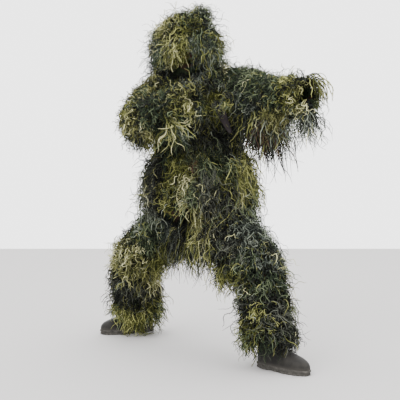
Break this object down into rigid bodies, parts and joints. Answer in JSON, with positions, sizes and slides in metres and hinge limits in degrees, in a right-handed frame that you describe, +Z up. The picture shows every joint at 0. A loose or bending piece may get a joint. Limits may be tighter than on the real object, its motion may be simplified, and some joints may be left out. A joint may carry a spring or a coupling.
{
  "type": "ghillie suit",
  "caption": "Yarn-covered camouflage suit of hooded zip jacket, trousers and boots, jointed at hood, waist, shoulders, elbows, hips, knees and ankles, standing in a wide stance.",
  "frame": {"origin": "on the ground, at the centre of the suit's box", "axes": "+Z up, the suit's front faces -Y, +X to the wearer's left"},
  "size_m": [1.0841, 1.0305, 1.6724],
  "materials": {
    "camo_cloth": "matte woven, woodland print",
    "yarn_mix": "matte, loose strands",
    "yarn_pale": "matte, loose strands",
    "yarn_olive": "matte, loose strands",
    "yarn_green": "matte, loose strands",
    "yarn_grey": "matte, loose strands",
    "yarn_dark": "matte, loose strands",
    "elastic": "ribbed",
    "veil_net": "open net",
    "strap_web": "flat webbing",
    "zip_tape": "tight weave",
    "zip_coil": "satin",
    "zip_metal": "satin black",
    "boot_leather": "worn nubuck",
    "boot_rubber": "dusty",
    "insole_felt": "felt"
  },
  "bodies": {
    "trousers_seat": {"seat_fabric": "camo_cloth", "waistband": "elastic", "crotch_tuft": "yarn_mix"},
    "jacket_waist": {"jacket_skirt": "camo_cloth", "skirt_hem_band": "elastic", "skirt_yarn": "yarn_mix"},
    "jacket": {"right_front_panel": "camo_cloth", "left_front_panel": "camo_cloth", "back_panel": "camo_cloth", "jacket_yarn": "yarn_mix", "zip_tapes": "zip_tape", "zip_coil": "zip_coil", "chest_strap": "strap_web"},
    "collar": {"collar": "camo_cloth"},
    "hood": {"hood_fabric": "camo_cloth", "hood_brim": "elastic", "face_veil": "veil_net", "hood_yarn": "yarn_mix", "hood_tuft": "yarn_mix"},
    "zip_slider": {"zip_slider": "zip_metal"},
    "zip_pull": {"zip_pull": "zip_metal"},
    "right_armhole": {"right_shoulder_fabric": "camo_cloth"},
    "right_upper_sleeve": {"right_upper_sleeve_fabric": "camo_cloth", "right_upper_sleeve_yarn": "yarn_mix", "right_elbow_fabric": "camo_cloth", "right_elbow_tuft": "yarn_mix"},
    "right_forearm": {"right_forearm_fabric": "camo_cloth", "right_forearm_yarn": "yarn_mix", "right_cuff_elastic": "elastic"},
    "right_hip": {"right_hip_fabric": "camo_cloth"},
    "right_thigh": {"right_thigh_fabric": "camo_cloth", "right_thigh_yarn": "yarn_mix", "right_knee_fabric": "camo_cloth"},
    "right_shin": {"right_shin_fabric": "camo_cloth", "right_shin_yarn": "yarn_mix", "right_hem_elastic": "elastic"},
    "right_boot": {"right_boot_upper": "boot_leather", "right_boot_sole": "boot_rubber", "right_boot_insole": "insole_felt"},
    "left_armhole": {"left_shoulder_fabric": "camo_cloth"},
    "left_upper_sleeve": {"left_upper_sleeve_fabric": "camo_cloth", "left_upper_sleeve_yarn": "yarn_mix", "left_elbow_fabric": "camo_cloth", "left_sleeve_curtain": "yarn_mix"},
    "left_forearm": {"left_forearm_fabric": "camo_cloth", "left_forearm_yarn": "yarn_mix", "left_cuff_elastic": "elastic", "left_cuff_tuft": "yarn_mix"},
    "left_hip": {"left_hip_fabric": "camo_cloth"},
    "left_thigh": {"left_thigh_fabric": "camo_cloth", "left_thigh_yarn": "yarn_mix", "left_knee_fabric": "camo_cloth"},
    "left_shin": {"left_shin_fabric": "camo_cloth", "left_shin_yarn": "yarn_mix", "left_hem_elastic": "elastic"},
    "left_boot": {"left_boot_upper": "boot_leather", "left_boot_sole": "boot_rubber", "left_boot_insole": "insole_felt"}
  },
  "joints": [
    {"name": "waist_lean", "type": "hinge", "parent": "trousers_seat", "child": "jacket_waist", "pos_m": [-0.008, 0.08, 0.95], "axis": [1, 0, 0], "range_deg": [-10, 28], "deforming": ["jacket_skirt", "skirt_hem_band", "skirt_yarn"]},
    {"name": "waist_twist", "type": "hinge", "parent": "jacket_waist", "child": "jacket", "pos_m": [-0.008, 0.08, 0.95], "axis": [0, 0, 1], "range_deg": [-25, 25], "deforming": ["jacket_yarn"]},
    {"name": "hood_turn", "type": "hinge", "parent": "jacket", "child": "collar", "pos_m": [-0.054, 0.04, 1.37], "axis": [0, 0, 1], "range_deg": [-40, 40], "deforming": ["collar"]},
    {"name": "hood_nod", "type": "hinge", "parent": "collar", "child": "hood", "pos_m": [-0.054, 0.04, 1.37], "axis": [1, 0, 0], "range_deg": [-18, 18], "deforming": ["hood_yarn", "hood_tuft"]},
    {"name": "right_shoulder_raise", "type": "hinge", "parent": "jacket", "child": "right_armhole", "pos_m": [-0.209, 0.075, 1.265], "axis": [0, 1, 0], "range_deg": [-8, 40], "deforming": ["right_shoulder_fabric"]},
    {"name": "right_shoulder_swing", "type": "hinge", "parent": "right_armhole", "child": "right_upper_sleeve", "pos_m": [-0.209, 0.075, 1.265], "axis": [0, 0, 1], "range_deg": [-30, 6], "deforming": ["right_upper_sleeve_yarn", "right_elbow_tuft"]},
    {"name": "right_elbow", "type": "hinge", "parent": "right_upper_sleeve", "child": "right_forearm", "pos_m": [-0.319, -0.185, 1.12], "axis": [-0.5138, -0.2417, 0.8232], "range_deg": [-90, 12], "deforming": ["right_elbow_fabric", "right_forearm_yarn"]},
    {"name": "right_hip_swing", "type": "hinge", "parent": "trousers_seat", "child": "right_hip", "pos_m": [-0.099, 0.12, 0.68], "axis": [-1, 0, 0], "range_deg": [-22, 22], "deforming": ["right_hip_fabric", "crotch_tuft"]},
    {"name": "right_hip_spread", "type": "hinge", "parent": "right_hip", "child": "right_thigh", "pos_m": [-0.099, 0.12, 0.68], "axis": [0, 1, 0], "range_deg": [-28, 10], "deforming": ["right_thigh_yarn"]},
    {"name": "right_knee", "type": "hinge", "parent": "right_thigh", "child": "right_shin", "pos_m": [-0.359, 0.235, 0.42], "axis": [0.1767, -0.8226, -0.5405], "range_deg": [-42, 50], "deforming": ["right_knee_fabric", "right_shin_yarn"]},
    {"name": "right_ankle", "type": "hinge", "parent": "right_shin", "child": "right_boot", "pos_m": [-0.329, 0.455, 0.095], "axis": [-0.3401, 0.9404, 0], "range_deg": [-12, 6]},
    {"name": "left_shoulder_raise", "type": "hinge", "parent": "jacket", "child": "left_armhole", "pos_m": [0.186, 0.05, 1.29], "axis": [0, -1, 0], "range_deg": [-40, 40], "deforming": ["left_shoulder_fabric"]},
    {"name": "left_shoulder_swing", "type": "hinge", "parent": "left_armhole", "child": "left_upper_sleeve", "pos_m": [0.186, 0.05, 1.29], "axis": [0, 0, 1], "range_deg": [-25, 25], "deforming": ["left_upper_sleeve_yarn", "left_sleeve_curtain"]},
    {"name": "left_elbow", "type": "hinge", "parent": "left_upper_sleeve", "child": "left_forearm", "pos_m": [0.321, -0.21, 1.24], "axis": [-0.869, -0.4767, 0.1328], "range_deg": [-15, 92], "deforming": ["left_elbow_fabric", "left_forearm_yarn", "left_cuff_tuft"]},
    {"name": "left_hip_swing", "type": "hinge", "parent": "trousers_seat", "child": "left_hip", "pos_m": [0.083, 0.04, 0.68], "axis": [-1, 0, 0], "range_deg": [-22, 22], "deforming": ["left_hip_fabric"]},
    {"name": "left_hip_spread", "type": "hinge", "parent": "left_hip", "child": "left_thigh", "pos_m": [0.083, 0.04, 0.68], "axis": [0, -1, 0], "range_deg": [-28, 10], "deforming": ["left_thigh_yarn"]},
    {"name": "left_knee", "type": "hinge", "parent": "left_thigh", "child": "left_shin", "pos_m": [0.271, -0.275, 0.44], "axis": [0.8738, 0.4838, 0.0495], "range_deg": [-62, 36], "deforming": ["left_knee_fabric", "left_shin_yarn"]},
    {"name": "left_ankle", "type": "hinge", "parent": "left_shin", "child": "left_boot", "pos_m": [0.321, -0.33, 0.095], "axis": [-0.6606, -0.7507, 0], "range_deg": [-12, 10]},
    {"name": "zip_slide", "type": "slide", "parent": "jacket", "child": "zip_slider", "axis": [0, 0, -1], "range_m": [0, 0.28]},
    {"name": "zip_pull_swing", "type": "hinge", "parent": "zip_slider", "child": "zip_pull", "pos_m": [-0.019, -0.0738, 1.3105], "axis": [-1, 0, 0], "range_deg": [0, 150]}
  ]
}
